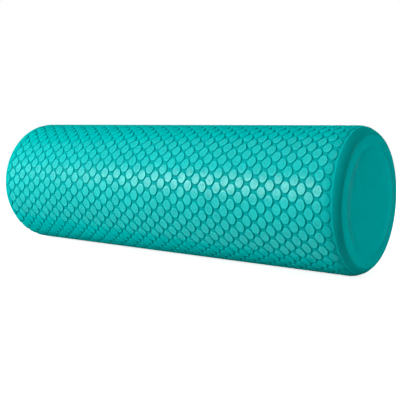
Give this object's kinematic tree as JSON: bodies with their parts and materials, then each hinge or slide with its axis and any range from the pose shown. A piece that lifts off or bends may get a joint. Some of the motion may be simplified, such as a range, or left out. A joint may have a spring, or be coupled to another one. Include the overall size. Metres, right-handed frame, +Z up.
{
  "type": "foam massage roller",
  "caption": "Long round foam massage roller with staggered raised oval pads all over its side, smooth rounded shoulders and flat round ends.",
  "frame": {"origin": "on the surface that the roller lies on, under the middle of the roller", "axes": "+X along the roller, parallel to its own axis 73.1 mm above, towards the end that the picture shows; +Z up, with the roller lying on its side"},
  "size_m": [0.457, 0.1464, 0.1462],
  "materials": {
    "core_foam": "matte closed-cell foam, teal",
    "skin_foam": "satin moulded foam skin, teal",
    "disc_foam": "matte moulded foam, teal"
  },
  "bodies": {
    "root": {"foam_core": "core_foam", "textured_skin": "skin_foam", "end_disc_near": "disc_foam", "end_disc_far": "disc_foam"}
  },
  "joints": []
}
